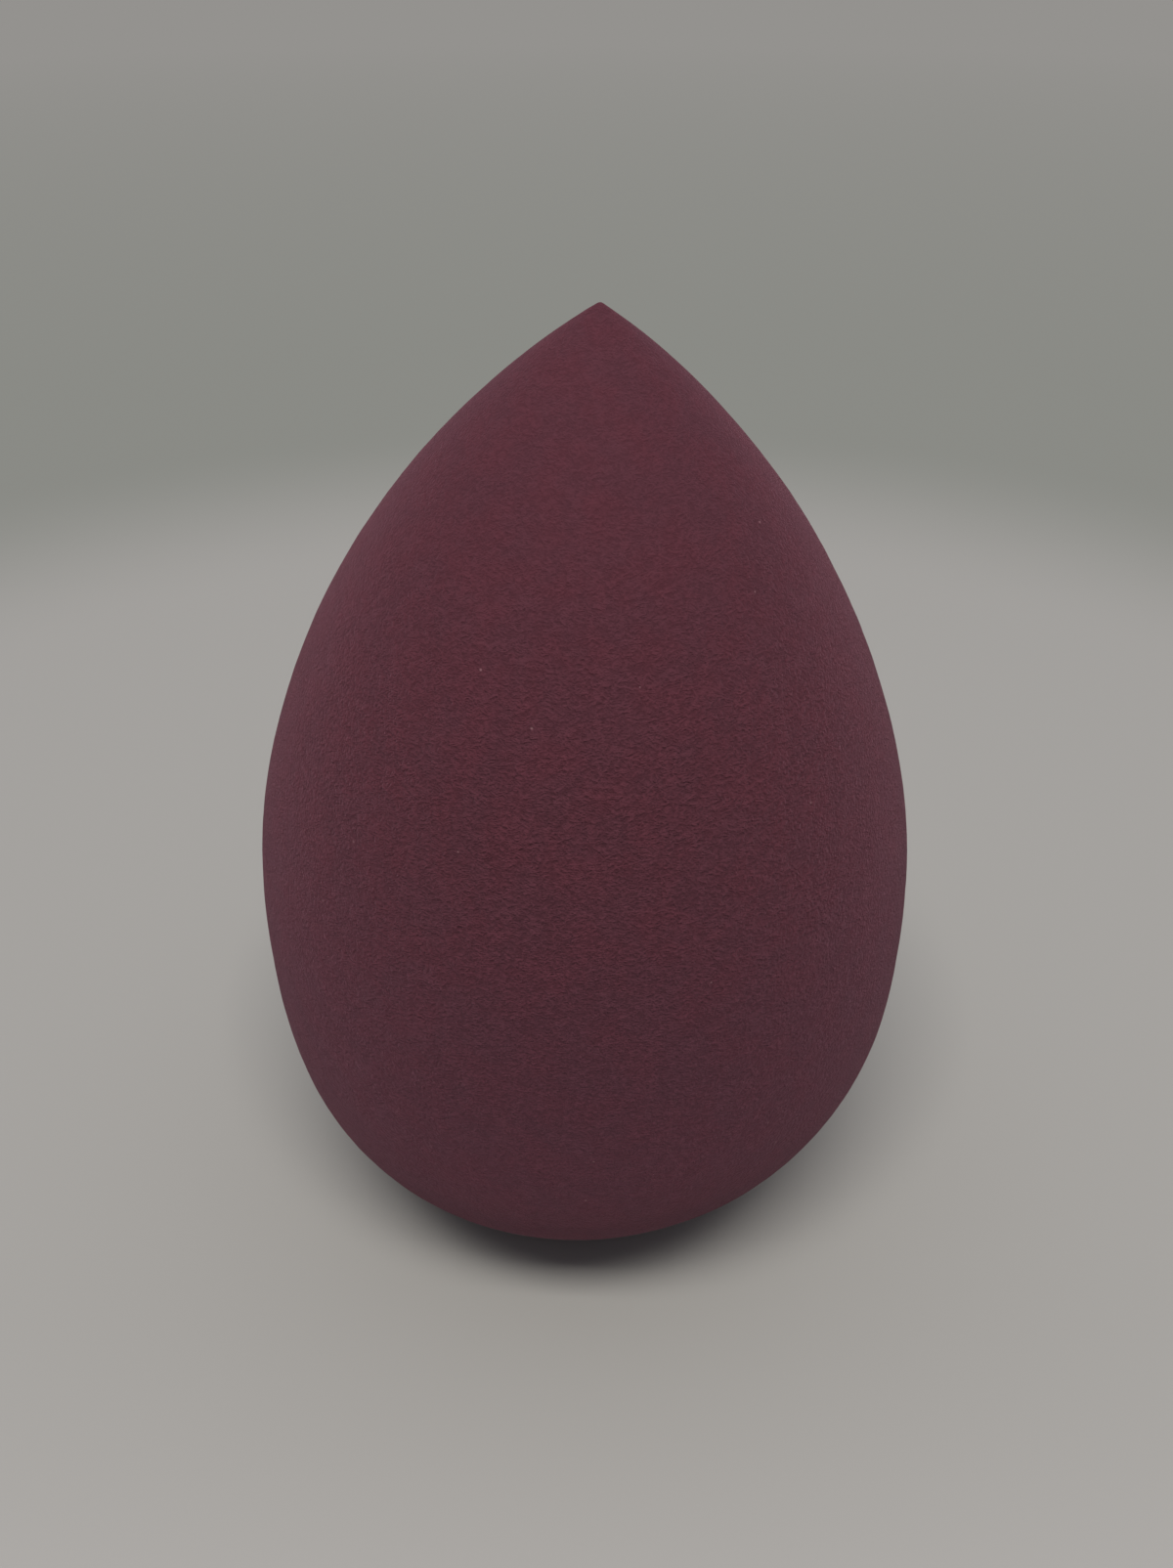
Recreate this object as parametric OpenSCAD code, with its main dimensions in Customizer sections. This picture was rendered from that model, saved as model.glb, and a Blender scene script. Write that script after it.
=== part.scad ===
// Makeup sponge: a pointed egg of fine foam, round at the base and drawn up to a tip.
// It is one piece of foam, ground to shape, with nothing inside it. All sizes are in mm.
// It stands upright on the flat under its round end, with the origin in that flat's middle.

/* [Body] */
// Height from the flat underneath to the tip
body_h = 60; // [52:1:80]
// Width across the belly, which is also the diameter of the round end
body_d = 42; // [34:1:50]

/* [Ends] */
// Radius of the small rounding at the tip
tip_r = 0.8; // [0.4:0.1:4]
// Depth of the round end that is pressed flat where the sponge stands
foot_depth = 0.5; // [0.3:0.1:2]

/* [Hidden] */
curve_steps = 192;
foam_color = [0.36, 0.20, 0.24];

// The round end is a ball, and the sponge is widest level with the ball's middle
ball_r = body_d / 2;
belly_z = ball_r - foot_depth;

// The flank is one arc that leaves the belly upright and runs into the tip's rounding.
// The line through the two arcs' middles meets both where they join.
tip_z = body_h - tip_r;
flank_rise = tip_z - belly_z;
flank_r = (pow(flank_rise, 2) / (ball_r - tip_r) + ball_r + tip_r) / 2;
flank_x = ball_r - flank_r;
join_z = tip_z + flank_rise * tip_r / (flank_r - tip_r);

// The part of a disc that lies to the right of the axis, between two levels
module disc_between(x, z, r, low, high) {
    intersection() {
        translate([x, z]) circle(r = r, $fn = curve_steps);
        translate([0, low]) square([body_d, high - low]);
    }
}

// Half of the upright section: round end, flank and tip, each tangent to the next
module half_section() {
    disc_between(0, belly_z, ball_r, 0, belly_z);
    disc_between(flank_x, belly_z, flank_r, belly_z, join_z);
    disc_between(0, tip_z, tip_r, join_z, body_h + tip_r);
}

// The whole sponge, turned about its upright axis
module foam_body() {
    color(foam_color) rotate_extrude($fn = curve_steps) half_section();
}

foam_body();
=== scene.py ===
import math
import bpy
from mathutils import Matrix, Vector


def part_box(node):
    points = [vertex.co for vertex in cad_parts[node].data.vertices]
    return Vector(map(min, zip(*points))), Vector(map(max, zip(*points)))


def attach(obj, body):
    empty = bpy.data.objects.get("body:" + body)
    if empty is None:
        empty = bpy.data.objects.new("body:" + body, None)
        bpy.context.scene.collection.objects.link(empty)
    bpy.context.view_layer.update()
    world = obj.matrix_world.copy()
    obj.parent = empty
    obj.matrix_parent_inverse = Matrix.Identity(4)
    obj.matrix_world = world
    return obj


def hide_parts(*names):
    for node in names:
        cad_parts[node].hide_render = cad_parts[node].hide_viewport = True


# A makeup sponge: one pointed egg of fine burgundy foam, standing on its round end.
# Lengths are in metres, angles in radians and colours as a picture shows them, from 0 to 255,
# unless a comment says otherwise.

# The rounding of the tip, and how deep the round end is cut flat where the sponge stands.
# The height and the width come from the frame.
TIP_RADIUS = 0.0003
FOOT_DEPTH = 0.0005

# The rows of points along each edge of the block that becomes the mesh, and how much they
# crowd towards the tip, where 1 is not at all
MESH_ROWS = 127
TIP_CROWDING = 1.25

# Where this sponge departs from a true round: a slimmer belly, a fuller heel, a tip that leans
# and a foot that lies a little aside
DEPARTURES = {
    "Belly Tuck": 0.00037,
    "Tuck Height": 0.0197,
    "Tuck Reach": 0.0142,
    "Heel Fill": 0.00035,
    "Heel Height": 0.0083,
    "Heel Reach": 0.0121,
    "Tip Lean": 0.00076,
    "Lean From": 0.038,
    "Foot Drift": 0.0009,
    "Drift Height": 0.0172,
}

# The uneven surface that grinding leaves: three kinds of swell, each with its height and its
# width. The foot is flat on the floor, and the swells are whole from Flat Edge upwards.
RELIEF = {
    "Waver Height": 0.00022,
    "Waver Width": 0.016,
    "Swell Height": 0.00006,
    "Swell Width": 0.0042,
    "Crumb Height": 0.00004,
    "Crumb Width": 0.0011,
    "Flat Edge": 0.002,
    "Relief Seed": 7.0,
}
# How many finer layers of noise each kind of swell carries
RELIEF_DETAIL = {"Waver": 1.0, "Swell": 1.5, "Crumb": 2.0}

# The noise that makes the foam's cells, lumps and faint patches, with widths in millimetres
CELLS = {"width": 0.18, "seed": 5.0, "detail": 2.0, "roughness": 0.65}
LUMPS = {"width": 1.3, "seed": 3.0, "detail": 2.0}
PATCHES = {"width": 2.4, "seed": 23.0, "detail": 3.0, "roughness": 0.65}

# Two sets of wrinkles, each with its width in millimetres, its seed and its share of the
# height. They are flatter than wide, and lie where the noise keeps near its middle level.
WRINKLES = ((0.4, 11.0, 0.55), (0.65, 17.0, 0.45))
WRINKLE_NOISE = {"detail": 1.5, "distortion": 1.0}
WRINKLE_FLATNESS = 1.6
CREST_REACH = 0.13

# Where the wrinkles break off: the noise that says so, with its width in millimetres, how far
# its seed lies from the wrinkles' own, the levels between which they come back, and how much
# of them is left where they are broken
BREAK_NOISE = {"width": 0.8, "detail": 1.0}
BREAK_SEED_STEP = 20.0
BREAK_FROM, BREAK_TO = 0.4, 0.6
BREAK_LEAVES = 0.55

# How plainly the patterns show at the foot and at the tip, against the middle, and the heights
# in millimetres between which that changes
FOOT_PLAINNESS, FOOT_RANGE = 0.6, (6.0, 24.0)
TIP_PLAINNESS, TIP_RANGE = 0.55, (38.0, 56.0)

# The depth of the bumps, and how high each pattern stands in them
BUMP_DEPTH = 0.0001
WRINKLE_RISE, CELL_RISE, LUMP_RISE = 0.7, 1.5, 0.3

# The foam's two tones, and the levels of the patches' noise between which they change
FOAM_WINE, FOAM_RED = (90.5, 51, 60.5), (93.5, 50, 59.5)
PATCH_FROM, PATCH_TO = 0.35, 0.65

# Painted bounce light: the foam's lower half is made greyer and more violet, as factors on its
# colour, and the heights in millimetres between which that fades out on the way up
PAINTED_BOUNCE_LOW_DOWN = (1.0, 1.09, 1.14)
LOW_DOWN_FROM, LOW_DOWN_TO = 22.0, 40.0

# Painted shade in hollows and painted highlight on crests, as factors on the colour, what wrinkles
# and cells each add to it, and the levels between which hollow turns into crest. Where the
# patterns fade, the tone settles at one level.
HOLLOW_PAINTED_SHADE, CREST_PAINTED_HIGHLIGHT = 0.82, 1.2
WRINKLE_TONE, CELL_TONE = 0.4, 0.6
HOLLOW_LEVEL, CREST_LEVEL = 0.25, 0.65
SETTLED_LEVEL = 0.3

# Specks of dust: how far apart they lie, how far they are whole and how far they reach, all in
# millimetres, how strongly they show, and their colour
SPECK_SPACING = 2.6
SPECK_CORE, SPECK_REACH = 0.05, 0.09
SPECK_STRENGTH = 0.5
SPECK_COLOUR = (160, 120, 124)

# The tint of the soft rim that fine foam shows
RIM_TINT = (255, 181, 203)

# Where the picture was taken from
CAMERA_ASIDE = 0.00008
CAMERA_BACK = 0.0677
CAMERA_UP = 0.0773
CAMERA_TILT = math.radians(34.63)
NEAREST_SEEN = 0.001
# The lens and the long side of its picture, in millimetres
LENS = 29.93
LONG_SIDE = 36.0

# One oblong lamp overhead, tipped towards the camera and a touch to the left: how far off it
# is, the height that it aims at, its size, its power in watts and its tint in linear shares
LAMP_AWAY, LAMP_AIM = 1.0, 0.02
LAMP_TILT, LAMP_ASIDE = math.radians(22.7), -0.02
LAMP_LENGTH, LAMP_WIDTH = 0.64, 0.2
LAMP_POWER = 7.12
LAMP_TINT = (1.0, 0.98, 0.95)

# Soft light from above, from both sides and from behind, and its tint in linear shares
ROOM_LIGHT, SIDE_LIGHT, BACK_LIGHT = 0.42, 0.5, 0.5
ROOM_TINT = (0.96, 0.97, 1.1, 1.0)
# How high the light from above and the light from around come in, from 0 for level with the
# floor to 1 for straight overhead: where each starts, and where it is whole
ABOVE_FROM, ABOVE_WHOLE = 0.7, 0.9
AROUND_FROM, AROUND_WHOLE = 0.1, 0.4

# The pale sheet on the floor: half its side, its tone, and the paler tone of painted light that
# it takes on towards the camera, between two places along Y
SHEET_HALF = 3.0
SHEET_TONE, SHEET_PAINTED_LIGHT = (174.5, 172.5, 167), (190, 187.5, 182.5)
PAINTED_LIGHT_FROM, PAINTED_LIGHT_TO = -0.015, -0.06
# Where the sheet starts and ends its fade into the backdrop, from the sponge's middle
FADE_FROM, FADE_TO = 0.1, 0.155
# The backdrop's tone close behind the sheet and far behind it, and how far off each holds
BACKDROP_NEAR, BACKDROP_FAR = (138, 138.5, 133.5), (148, 146, 143)
NEAR_HOLDS, FAR_HOLDS = 0.2, 0.8

# The millimetres in a metre, and the middle level of noise
MILLIMETRES = 1000.0
NOISE_MIDDLE = 0.5


def paint(red, green, blue):
    """A colour given as a picture shows it, in the linear form that shaders take."""
    shares = [value / 255 for value in (red, green, blue)]
    linear = [s / 12.92 if s <= 0.04045 else ((s + 0.055) / 1.055) ** 2.4 for s in shares]
    return (*linear, 1.0)


class Nodes:
    """Short calls that add nodes to one tree and give back the socket for the next call."""

    def __init__(self, tree):
        self.tree = tree

    def add(self, kind, **settings):
        node = self.tree.nodes.new(kind)
        for name, value in settings.items():
            setattr(node, name, value)
        return node

    def feed(self, socket, value):
        """Link the socket to another one, or set it to a plain value."""
        if isinstance(value, bpy.types.NodeSocket):
            self.tree.links.new(value, socket)
        else:
            socket.default_value = value

    def feed_all(self, sockets, values):
        for socket, value in zip(sockets, values):
            self.feed(socket, value)

    def math(self, operation, *values):
        node = self.add("ShaderNodeMath", operation=operation)
        self.feed_all(node.inputs, values)
        return node.outputs[0]

    def vector(self, operation, *values, out=0):
        node = self.add("ShaderNodeVectorMath", operation=operation)
        self.feed_all(node.inputs, values)
        return node.outputs[out]

    def scaled(self, vector, factor):
        node = self.add("ShaderNodeVectorMath", operation="SCALE")
        self.feed(node.inputs["Vector"], vector)
        self.feed(node.inputs["Scale"], factor)
        return node.outputs[0]

    def total(self, first, *rest):
        for value in rest:
            first = self.math("ADD", first, value)
        return first

    def join(self, x, y, z):
        node = self.add("ShaderNodeCombineXYZ")
        self.feed_all(node.inputs, (x, y, z))
        return node.outputs[0]

    def split(self, vector):
        node = self.add("ShaderNodeSeparateXYZ")
        self.feed(node.inputs[0], vector)
        return node.outputs

    def mixed(self, share, first, second, kind="RGBA"):
        """The first value where the share is 0, and the second where it is 1."""
        node = self.add("ShaderNodeMix", data_type=kind)
        sockets = [socket for socket in node.inputs if socket.enabled]
        self.feed_all(sockets, (share, first, second))
        return next(socket for socket in node.outputs if socket.enabled)

    def band(self, value, low, high, to_low=0.0, to_high=1.0, smooth=True):
        """The value carried from low..high to to_low..to_high, and held at the ends."""
        kind = "SMOOTHSTEP" if smooth else "LINEAR"
        node = self.add("ShaderNodeMapRange", interpolation_type=kind)
        ends = {"From Min": low, "From Max": high, "To Min": to_low, "To Max": to_high}
        self.feed(node.inputs["Value"], value)
        for name, end in ends.items():
            self.feed(node.inputs[name], end)
        return node.outputs["Result"]

    def noise(self, vector, width, seed, detail=2.0, roughness=0.5, distortion=0.0):
        """Noise from 0 to 1, with swells about as wide as width in the vector's own unit."""
        node = self.add("ShaderNodeTexNoise", noise_dimensions="3D")
        self.feed(node.inputs["Vector"], self.vector("ADD", vector, self.join(seed, seed, seed)))
        self.feed(node.inputs["Scale"], self.math("DIVIDE", 1.0, width))
        self.feed(node.inputs["Detail"], detail)
        self.feed(node.inputs["Roughness"], roughness)
        self.feed(node.inputs["Distortion"], distortion)
        return node.outputs["Fac"]


def meridian_sizes(height, width):
    """The arcs of the upright outline: a flat foot, a ball, one long flank and a small tip."""
    ball = width / 2
    belly = ball - FOOT_DEPTH
    rise = height - TIP_RADIUS - belly
    flank = (rise ** 2 / (ball - TIP_RADIUS) + ball + TIP_RADIUS) / 2
    return {
        "Foot Radius": math.sqrt(ball ** 2 - belly ** 2),
        "Ball Radius": ball,
        "Ball Angle": math.asin(belly / ball),
        "Flank Radius": flank,
        "Flank Angle": math.atan2(rise, flank - ball),
        "Tip Radius": TIP_RADIUS,
        "Tip Crowding": TIP_CROWDING,
        "Full Height": height,
    }


def walk_meridian(n, given, share):
    """The distance from the axis and the height, after a share of the way from foot to tip."""
    quarter_turn = math.pi / 2
    ball, ball_angle = given["Ball Radius"], given["Ball Angle"]
    flank, flank_angle = given["Flank Radius"], given["Flank Angle"]
    tip = given["Tip Radius"]
    foot = given["Foot Radius"]
    tip_angle = n.math("SUBTRACT", quarter_turn, flank_angle)
    # Each arc's radius, the angle that it turns through, and the angle at which it starts
    arcs = [
        (ball, ball_angle, n.math("MULTIPLY", ball_angle, -1.0)),
        (flank, flank_angle, 0.0),
        (tip, tip_angle, flank_angle),
    ]
    lengths = [n.math("MULTIPLY", radius, angle) for radius, angle, _ in arcs]
    walked = n.math("MULTIPLY", share, n.total(foot, *lengths))
    out = n.math("MINIMUM", walked, foot)
    up = 0.0
    left = n.math("SUBTRACT", walked, foot)
    for (radius, angle, start), length in zip(arcs, lengths):
        turned = n.math("MINIMUM", n.math("MAXIMUM", n.math("DIVIDE", left, radius), 0.0), angle)
        now = n.math("ADD", start, turned)
        step_out = n.math("SUBTRACT", n.math("COSINE", now), n.math("COSINE", start))
        step_up = n.math("SUBTRACT", n.math("SINE", now), n.math("SINE", start))
        out = n.math("MULTIPLY_ADD", radius, step_out, out)
        up = n.math("MULTIPLY_ADD", radius, step_up, up)
        left = n.math("SUBTRACT", left, length)
    return out, up


def round_block(n):
    """A closed block of even squares, and the directions of its points from its middle."""
    cube = n.add("GeometryNodeMeshCube")
    n.feed(cube.inputs["Size"], (2.0, 2.0, 2.0))
    for side in ("Vertices X", "Vertices Y", "Vertices Z"):
        n.feed(cube.inputs[side], MESH_ROWS)
    place = n.add("GeometryNodeInputPosition").outputs[0]
    # The block runs from -1 to 1, and the tangent spreads its squares about evenly on a ball
    even = n.vector("TANGENT", n.scaled(place, math.pi / 4))
    return cube.outputs["Mesh"], n.vector("NORMALIZE", even)


def moved(n, geometry, position=None, offset=None):
    """The geometry with its points set at a position, or shifted by an offset."""
    node = n.add("GeometryNodeSetPosition")
    n.feed(node.inputs["Geometry"], geometry)
    if position is not None:
        n.feed(node.inputs["Position"], position)
    if offset is not None:
        n.feed(node.inputs["Offset"], offset)
    return node.outputs[0]


def hump(n, value, middle, reach):
    """One at the middle, falling softly to nothing within the reach on either side."""
    away = n.math("ABSOLUTE", n.math("SUBTRACT", value, middle))
    return n.band(away, 0.0, reach, 1.0, 0.0)


def own_shape(n, given, out, up):
    """The outline's distance from the axis and its sideways shift, as this sponge has them."""
    tucked = hump(n, up, given["Tuck Height"], given["Tuck Reach"])
    filled = hump(n, up, given["Heel Height"], given["Heel Reach"])
    filled = n.math("MULTIPLY", filled, n.band(out, 0.0, given["Foot Radius"], smooth=False))
    out = n.math("SUBTRACT", out, n.math("MULTIPLY", tucked, given["Belly Tuck"]))
    out = n.math("MULTIPLY_ADD", filled, given["Heel Fill"], out)
    over = n.band(up, given["Lean From"], given["Full Height"], smooth=False)
    lean = n.math("MULTIPLY", given["Tip Lean"], n.math("POWER", over, 2.0))
    below = n.band(up, 0.0, given["Drift Height"], 1.0, 0.0)
    return out, n.math("SUBTRACT", lean, n.math("MULTIPLY", below, given["Foot Drift"]))


def relief(n, given, height_now):
    """How far each point of the skin stands out or in: broad wavers, swells and fine crumbs."""
    place = n.add("GeometryNodeInputPosition").outputs[0]
    out = 0.0
    for name, detail in RELIEF_DETAIL.items():
        swell = n.noise(place, given[name + " Width"], given["Relief Seed"], detail)
        centred = n.math("SUBTRACT", swell, NOISE_MIDDLE)
        out = n.math("MULTIPLY_ADD", centred, given[name + " Height"], out)
    off_floor = n.band(height_now, 0.0, given["Flat Edge"])
    return n.math("MULTIPLY", out, off_floor)


def sponge_tree(material, sizes):
    """The tree that turns the named sizes into the sponge's skin."""
    tree = bpy.data.node_groups.new("sponge_skin", "GeometryNodeTree")
    for name in sizes:
        tree.interface.new_socket(name=name, in_out="INPUT", socket_type="NodeSocketFloat")
    tree.interface.new_socket(name="Geometry", in_out="OUTPUT", socket_type="NodeSocketGeometry")
    n = Nodes(tree)
    given = n.add("NodeGroupInput").outputs
    block, direction = round_block(n)
    # A point's direction says how far along the outline it goes
    from_tip = n.math("DIVIDE", n.math("ARCCOSINE", n.split(direction)[2]), math.pi)
    share = n.math("SUBTRACT", 1.0, n.math("POWER", from_tip, given["Tip Crowding"]))
    out, up = walk_meridian(n, given, share)
    out, aside = own_shape(n, given, out, up)
    around = n.vector("NORMALIZE", n.vector("MULTIPLY", direction, (1.0, 1.0, 0.0)))
    skin = moved(n, block, position=n.vector("ADD", n.scaled(around, out), n.join(aside, 0.0, up)))
    facing = n.add("GeometryNodeInputNormal").outputs[0]
    height_now = n.split(n.add("GeometryNodeInputPosition").outputs[0])[2]
    rough = moved(n, skin, offset=n.scaled(facing, relief(n, given, height_now)))
    smooth = n.add("GeometryNodeSetShadeSmooth")
    n.feed(smooth.inputs["Geometry"], rough)
    real = n.add("GeometryNodeRealizeInstances")
    n.feed(real.inputs["Geometry"], smooth.outputs[0])
    finish = n.add("GeometryNodeSetMaterial")
    n.feed(finish.inputs["Geometry"], real.outputs[0])
    n.feed(finish.inputs["Material"], material)
    n.feed(n.add("NodeGroupOutput").inputs["Geometry"], finish.outputs[0])
    return tree


def make_sponge(material):
    """The foam body as one closed mesh, worked out by the tree and then kept as plain faces."""
    low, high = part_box("foam_body")
    sizes = {**meridian_sizes(high.z - low.z, high.x - low.x), **DEPARTURES, **RELIEF}
    sponge = bpy.data.objects.new("foam_sponge", bpy.data.meshes.new("foam_sponge"))
    bpy.context.scene.collection.objects.link(sponge)
    skin = sponge.modifiers.new("skin", "NODES")
    skin.node_group = sponge_tree(material, sizes)
    for item in skin.node_group.interface.items_tree:
        if item.in_out == "INPUT":
            skin[item.identifier] = sizes[item.name]
    graph = bpy.context.evaluated_depsgraph_get()
    sponge.data = bpy.data.meshes.new_from_object(sponge.evaluated_get(graph))
    sponge.modifiers.clear()
    return sponge


def foam_wrinkles(n, place):
    """Short level wrinkles, as a height from 0 to 1 that comes and goes over the skin."""
    level = n.vector("MULTIPLY", place, (1.0, 1.0, WRINKLE_FLATNESS))
    height = 0.0
    for width, seed, weight in WRINKLES:
        swell = n.noise(level, width, seed, **WRINKLE_NOISE)
        off_crest = n.math("ABSOLUTE", n.math("SUBTRACT", swell, NOISE_MIDDLE))
        crest = n.band(off_crest, 0.0, CREST_REACH, 1.0, 0.0)
        breaks = n.noise(place, seed=seed + BREAK_SEED_STEP, **BREAK_NOISE)
        kept = n.band(breaks, BREAK_FROM, BREAK_TO, BREAK_LEAVES, 1.0)
        height = n.math("MULTIPLY_ADD", n.math("MULTIPLY", crest, kept), weight, height)
    return height


def foam_grain(n, place):
    """How plainly the foam's patterns show: fully round the middle, less at tip and foot."""
    height = n.split(place)[2]
    above_foot = n.band(height, *FOOT_RANGE, FOOT_PLAINNESS, 1.0)
    below_tip = n.band(height, *TIP_RANGE, 1.0, TIP_PLAINNESS)
    return n.math("MULTIPLY", above_foot, below_tip)


def foam_bumps(n, wrinkles, cells, lumps, grain):
    """The foam's patterns as small bumps in its surface."""
    height = n.total(n.math("MULTIPLY", wrinkles, WRINKLE_RISE),
                     n.math("MULTIPLY", cells, CELL_RISE),
                     n.math("MULTIPLY", lumps, LUMP_RISE))
    bump = n.add("ShaderNodeBump")
    n.feed(bump.inputs["Height"], height)
    n.feed(bump.inputs["Distance"], BUMP_DEPTH)
    n.feed(bump.inputs["Strength"], grain)
    return bump.outputs[0]


def foam_specks(n, place):
    """One on the few pale specks of dust, and nothing elsewhere."""
    cells = n.add("ShaderNodeTexVoronoi", voronoi_dimensions="3D", feature="F1")
    n.feed(cells.inputs["Vector"], place)
    n.feed(cells.inputs["Scale"], 1 / SPECK_SPACING)
    away = n.math("MULTIPLY", cells.outputs["Distance"], SPECK_SPACING)
    return n.band(away, SPECK_CORE, SPECK_REACH, 1.0, 0.0)


def foam_tone(n, place, wrinkles, cells, grain):
    """The foam's colour: faint patches, painted shade in hollows, painted highlight on crests,
    painted bounce light low down, and the specks.
    """
    patches = n.band(n.noise(place, **PATCHES), PATCH_FROM, PATCH_TO)
    tone = n.mixed(patches, paint(*FOAM_WINE), paint(*FOAM_RED))
    # Painted bounce light: the lower half is greyer and more violet
    painted_bounce_share = n.band(n.split(place)[2], LOW_DOWN_FROM, LOW_DOWN_TO, 1.0, 0.0)
    tone = n.mixed(painted_bounce_share, tone, n.vector("MULTIPLY", tone, PAINTED_BOUNCE_LOW_DOWN))
    # Painted shade in the hollows and painted highlight on the crests
    painted_relief_shade = n.total(n.math("MULTIPLY", wrinkles, WRINKLE_TONE),
                     n.math("MULTIPLY", cells, CELL_TONE))
    painted_relief_shade = n.math("SUBTRACT", n.band(painted_relief_shade, HOLLOW_LEVEL, CREST_LEVEL), SETTLED_LEVEL)
    painted_relief_shade = n.math("MULTIPLY_ADD", painted_relief_shade, grain, SETTLED_LEVEL)
    tone = n.mixed(painted_relief_shade, n.scaled(tone, HOLLOW_PAINTED_SHADE), n.scaled(tone, CREST_PAINTED_HIGHLIGHT))
    specks = n.math("MULTIPLY", foam_specks(n, place), SPECK_STRENGTH)
    return n.mixed(specks, tone, paint(*SPECK_COLOUR))


def foam_material():
    """Matt burgundy foam: short level wrinkles, fine cells, faint patches and a soft paler rim."""
    material = bpy.data.materials.new("burgundy_foam")
    material.use_nodes = True
    n = Nodes(material.node_tree)
    shader = material.node_tree.nodes["Principled BSDF"]
    place = n.scaled(n.add("ShaderNodeTexCoord").outputs["Object"], MILLIMETRES)
    grain = foam_grain(n, place)
    wrinkles = foam_wrinkles(n, place)
    cells = n.noise(place, **CELLS)
    lumps = n.noise(place, **LUMPS)
    n.feed(shader.inputs["Normal"], foam_bumps(n, wrinkles, cells, lumps, grain))
    n.feed(shader.inputs["Base Color"], foam_tone(n, place, wrinkles, cells, grain))
    shader.inputs["Roughness"].default_value = 0.95
    shader.inputs["Specular IOR Level"].default_value = 0.15
    shader.inputs["Sheen Weight"].default_value = 0.2
    shader.inputs["Sheen Roughness"].default_value = 0.45
    shader.inputs["Sheen Tint"].default_value = paint(*RIM_TINT)
    return material


def backdrop_shows(n):
    """One for the rays that show the backdrop: to the eye, in gloss or through glass."""
    path = n.add("ShaderNodeLightPath").outputs
    shown = n.total(path["Is Camera Ray"], path["Is Glossy Ray"], path["Is Transmission Ray"])
    return n.math("MINIMUM", shown, 1.0)


def floor_material():
    """A pale sheet with a painted pool of light towards the camera, that runs off into the
    backdrop with no line between the two.
    """
    material = bpy.data.materials.new("pale_sheet")
    material.use_nodes = True
    n = Nodes(material.node_tree)
    shader = material.node_tree.nodes["Principled BSDF"]
    place = n.add("ShaderNodeTexCoord").outputs["Object"]
    # Painted pool of light: the sheet turns paler towards the camera
    painted_light_share = n.band(n.split(place)[1], PAINTED_LIGHT_TO, PAINTED_LIGHT_FROM, 1.0, 0.0)
    tone = n.mixed(painted_light_share, paint(*SHEET_TONE), paint(*SHEET_PAINTED_LIGHT))
    n.feed(shader.inputs["Base Color"], tone)
    shader.inputs["Roughness"].default_value = 0.9
    shader.inputs["Specular IOR Level"].default_value = 0.2

    away = n.vector("LENGTH", place, out="Value")
    farther = n.band(away, NEAR_HOLDS, FAR_HOLDS, smooth=False)
    far = n.add("ShaderNodeEmission")
    n.feed(far.inputs["Color"], n.mixed(farther, paint(*BACKDROP_NEAR), paint(*BACKDROP_FAR)))
    faded = n.math("MULTIPLY", n.band(away, FADE_FROM, FADE_TO), backdrop_shows(n))
    blend = n.add("ShaderNodeMixShader")
    n.feed_all(blend.inputs, (faded, shader.outputs[0], far.outputs[0]))
    n.feed(material.node_tree.nodes["Material Output"].inputs["Surface"], blend.outputs[0])
    return material


def make_floor():
    """The pale sheet under the sponge."""
    half = SHEET_HALF
    sheet = bpy.data.meshes.new("floor")
    corners = [(-half, -half, 0), (half, -half, 0), (half, half, 0), (-half, half, 0)]
    sheet.from_pydata(corners, [], [(0, 1, 2, 3)])
    sheet.materials.append(floor_material())
    floor = bpy.data.objects.new("floor", sheet)
    bpy.context.scene.collection.objects.link(floor)


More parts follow.
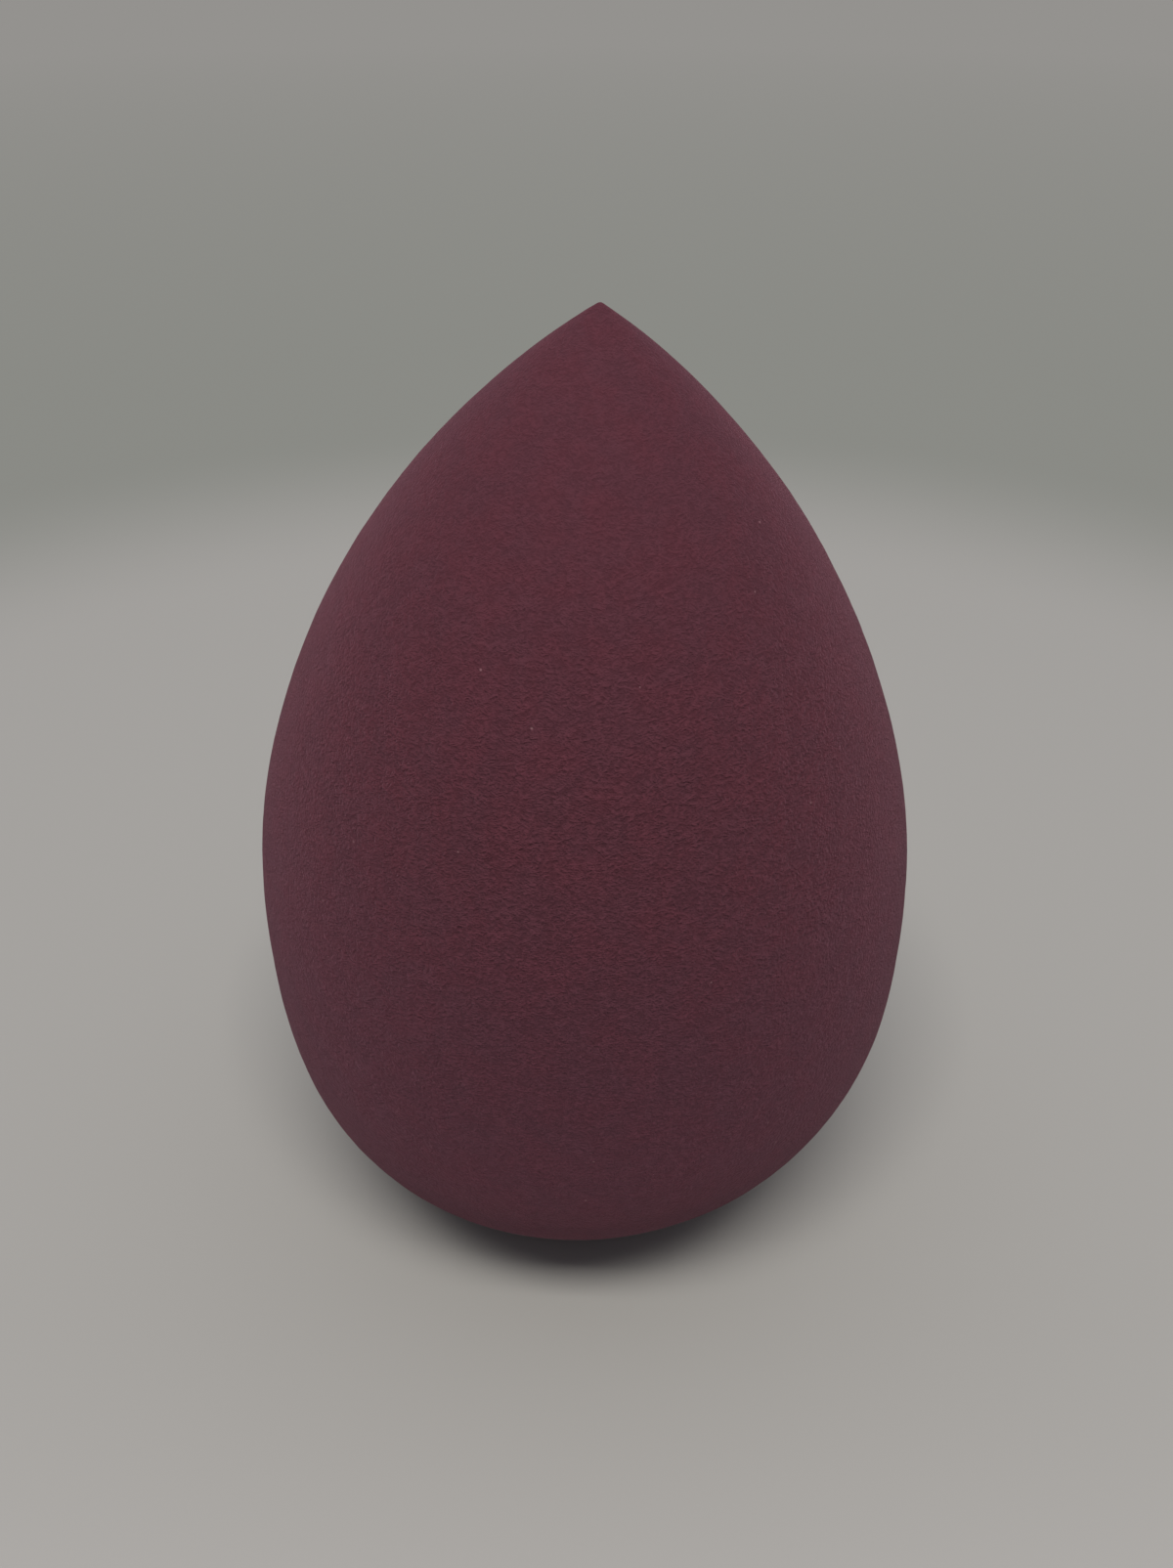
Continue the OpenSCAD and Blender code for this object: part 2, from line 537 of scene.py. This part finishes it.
def make_room():
    """Soft light from above, from both sides and from behind, and the plain backdrop."""
    world = bpy.data.worlds.new("soft_room")
    world.use_nodes = True
    n = Nodes(world.node_tree)
    background = world.node_tree.nodes["Background"]
    sideways, backwards, upward = n.split(n.add("ShaderNodeTexCoord").outputs["Generated"])
    above = n.band(upward, ABOVE_FROM, ABOVE_WHOLE, 0.0, ROOM_LIGHT)
    beside = n.math("MULTIPLY", n.math("MULTIPLY", sideways, sideways), SIDE_LIGHT)
    backwards = n.math("MAXIMUM", backwards, 0.0)
    behind = n.math("MULTIPLY", n.math("MULTIPLY", backwards, backwards), BACK_LIGHT)
    around = n.band(upward, AROUND_FROM, AROUND_WHOLE)
    around = n.math("MULTIPLY", n.math("ADD", beside, behind), around)
    light = n.math("ADD", above, around)
    shown = backdrop_shows(n)
    n.feed(background.inputs["Color"], n.mixed(shown, ROOM_TINT, paint(*BACKDROP_FAR)))
    n.feed(background.inputs["Strength"], n.mixed(shown, light, 1.0, kind="FLOAT"))
    bpy.context.scene.world = world


def make_lamp():
    """The soft oblong lamp over the sponge."""
    lamp = bpy.data.lights.new("overhead", "AREA")
    lamp.shape = "RECTANGLE"
    lamp.size, lamp.size_y = LAMP_LENGTH, LAMP_WIDTH
    lamp.energy = LAMP_POWER
    lamp.color = LAMP_TINT
    overhead = bpy.data.objects.new("overhead", lamp)
    slant = Vector((LAMP_ASIDE, -math.sin(LAMP_TILT), math.cos(LAMP_TILT))).normalized()
    overhead.location = Vector((0.0, 0.0, LAMP_AIM)) + slant * LAMP_AWAY
    overhead.rotation_euler = (-slant).to_track_quat("-Z", "Y").to_euler()
    bpy.context.scene.collection.objects.link(overhead)


def make_camera():
    """A camera held close over the sponge, as the picture was taken."""
    lens = bpy.data.cameras.new("camera")
    lens.lens = LENS
    lens.sensor_width = LONG_SIDE
    lens.clip_start = NEAREST_SEEN
    camera = bpy.data.objects.new("camera", lens)
    camera.location = (CAMERA_ASIDE, -CAMERA_BACK, CAMERA_UP)
    camera.rotation_euler = (math.pi / 2 - CAMERA_TILT, 0.0, 0.0)
    bpy.context.scene.collection.objects.link(camera)
    bpy.context.scene.camera = camera


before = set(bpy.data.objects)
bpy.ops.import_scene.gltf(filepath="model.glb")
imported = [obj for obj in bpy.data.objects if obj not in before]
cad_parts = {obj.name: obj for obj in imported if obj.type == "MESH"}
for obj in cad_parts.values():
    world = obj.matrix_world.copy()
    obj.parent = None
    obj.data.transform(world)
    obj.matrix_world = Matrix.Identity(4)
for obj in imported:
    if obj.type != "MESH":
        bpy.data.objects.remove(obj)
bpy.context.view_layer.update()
bpy.context.scene.view_settings.view_transform = "Standard"
make_camera()
make_floor()
make_room()
make_lamp()
sponge = make_sponge(foam_material())
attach(sponge, "root")
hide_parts("foam_body")
